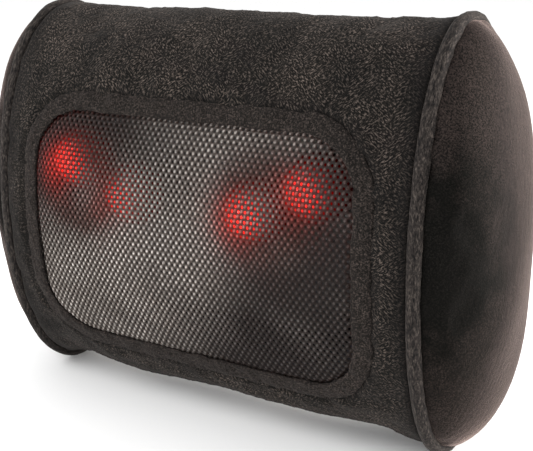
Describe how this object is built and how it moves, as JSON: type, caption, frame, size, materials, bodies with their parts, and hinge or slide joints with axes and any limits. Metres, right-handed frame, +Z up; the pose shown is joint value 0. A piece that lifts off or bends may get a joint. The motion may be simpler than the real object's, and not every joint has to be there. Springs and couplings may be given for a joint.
{
  "type": "shiatsu neck massager",
  "caption": "Plush bolster massage pillow with a mesh window, behind which a worm gearbox turns arms with massage heads in opposite directions.",
  "frame": {"origin": "centre of the bottom of the bounding box, on the surface that the pillow stands on", "axes": "+X along the pillow to the right as seen from the front, -Y out of the mesh window, +Z up"},
  "size_m": [0.34, 0.129, 0.2414],
  "materials": {
    "plush": "short pile plush",
    "velour": "smooth velour with a sheen",
    "piping": "plush-covered piping",
    "border": "fuzzy plush band",
    "mesh": "knitted spacer mesh",
    "foam": "charcoal open-cell foam",
    "black_plastic": "moulded, fine texture",
    "white_plastic": "moulded, smooth",
    "red_plastic": "translucent red, lit from behind",
    "steel": "bright steel",
    "brass": "machined brass",
    "board": "black solder-masked circuit board",
    "rubber": "soft-touch rubber",
    "lens": "clear blue lens"
  },
  "bodies": {
    "pillow": {"cover": "plush", "window_border": "border", "mesh_panel": "mesh", "foam_frame": "foam", "back_foam": "foam", "left_end_panel": "velour", "right_end_panel": "velour", "left_end_foam": "foam", "right_end_foam": "foam", "left_piping": "piping", "right_piping": "piping", "gearbox_front_shell": "black_plastic", "gearbox_back_shell": "black_plastic", "housing_screw_1": "steel", "housing_screw_2": "steel", "housing_screw_3": "steel", "housing_screw_4": "steel", "motor_can": "steel", "motor_end_bell": "black_plastic", "motor_bracket": "steel", "motor_lead": "rubber", "control_bezel": "black_plastic", "control_board": "board", "button_switch": "black_plastic", "indicator_lens": "lens", "power_inlet": "black_plastic", "zip_tape": "plush", "zip_teeth": "black_plastic", "left_gear_axle": "steel", "left_shaft_bush": "brass", "left_light_board": "board", "right_gear_axle": "steel", "right_shaft_bush": "brass", "right_light_board": "board"},
    "motor_rotor": {"motor_shaft": "steel", "worm": "brass"},
    "left_compound": {"left_compound_gear": "white_plastic"},
    "right_compound": {"right_compound_gear": "white_plastic"},
    "left_arm_unit": {"left_output_gear": "white_plastic", "left_output_shaft": "steel", "left_arm": "black_plastic", "left_arm_screw": "steel", "left_outer_head_pin": "steel", "left_inner_head_pin": "steel"},
    "left_outer_head": {"left_outer_head": "red_plastic"},
    "left_inner_head": {"left_inner_head": "red_plastic"},
    "right_arm_unit": {"right_output_gear": "white_plastic", "right_output_shaft": "steel", "right_arm": "black_plastic", "right_arm_screw": "steel", "right_outer_head_pin": "steel", "right_inner_head_pin": "steel"},
    "right_outer_head": {"right_outer_head": "red_plastic"},
    "right_inner_head": {"right_inner_head": "red_plastic"},
    "power_button": {"power_button": "rubber"},
    "zip_slider": {"zip_slider": "steel"},
    "zip_pull": {"zip_pull": "steel"}
  },
  "joints": [
    {"name": "left_arm_spin", "type": "hinge", "parent": "pillow", "child": "left_arm_unit", "pos_m": [-0.06575, -0.01199, 0.14196], "axis": [0, -1, 0], "continuous": true},
    {"name": "right_arm_spin", "type": "hinge", "parent": "pillow", "child": "right_arm_unit", "pos_m": [0.05375, -0.01199, 0.14196], "axis": [0, -1, 0], "continuous": true},
    {"name": "left_compound_spin", "type": "hinge", "parent": "pillow", "child": "left_compound", "pos_m": [-0.0295, -0.00099, 0.14196], "axis": [0, -1, 0], "continuous": true},
    {"name": "right_compound_spin", "type": "hinge", "parent": "pillow", "child": "right_compound", "pos_m": [0.0175, -0.00099, 0.14196], "axis": [0, -1, 0], "continuous": true},
    {"name": "worm_spin", "type": "hinge", "parent": "pillow", "child": "motor_rotor", "pos_m": [-0.006, -0.00099, 0.14196], "axis": [0, 0, 1], "continuous": true},
    {"name": "left_outer_head_spin", "type": "hinge", "parent": "left_arm_unit", "child": "left_outer_head", "pos_m": [-0.08388, -0.03749, 0.15042], "axis": [0, -1, 0], "continuous": true},
    {"name": "left_inner_head_spin", "type": "hinge", "parent": "left_arm_unit", "child": "left_inner_head", "pos_m": [-0.04762, -0.03749, 0.13351], "axis": [0, -1, 0], "continuous": true},
    {"name": "right_outer_head_spin", "type": "hinge", "parent": "right_arm_unit", "child": "right_outer_head", "pos_m": [0.07188, -0.03749, 0.15042], "axis": [0, -1, 0], "continuous": true},
    {"name": "right_inner_head_spin", "type": "hinge", "parent": "right_arm_unit", "child": "right_inner_head", "pos_m": [0.03562, -0.03749, 0.13351], "axis": [0, -1, 0], "continuous": true},
    {"name": "power_button_press", "type": "slide", "parent": "pillow", "child": "power_button", "axis": [0, -1, 0], "range_m": [0, 0.0012], "stiffness_N_per_m": 300, "springref_m": -0.001},
    {"name": "zip_slider_slide", "type": "slide", "parent": "pillow", "child": "zip_slider", "axis": [1, 0, 0], "range_m": [-0.15, 0]},
    {"name": "zip_pull_swing", "type": "hinge", "parent": "zip_slider", "child": "zip_pull", "pos_m": [0.104, 0.06191, 0.11986], "axis": [1, 0, 0], "range_deg": [0, 170]}
  ],
  "couplings": [
    {"joint": "right_arm_spin", "follows": "left_arm_spin", "ratio": -1},
    {"joint": "left_compound_spin", "follows": "left_arm_spin", "ratio": -3.8333},
    {"joint": "right_compound_spin", "follows": "left_arm_spin", "ratio": 3.8333},
    {"joint": "worm_spin", "follows": "left_arm_spin", "ratio": 107.33}
  ]
}
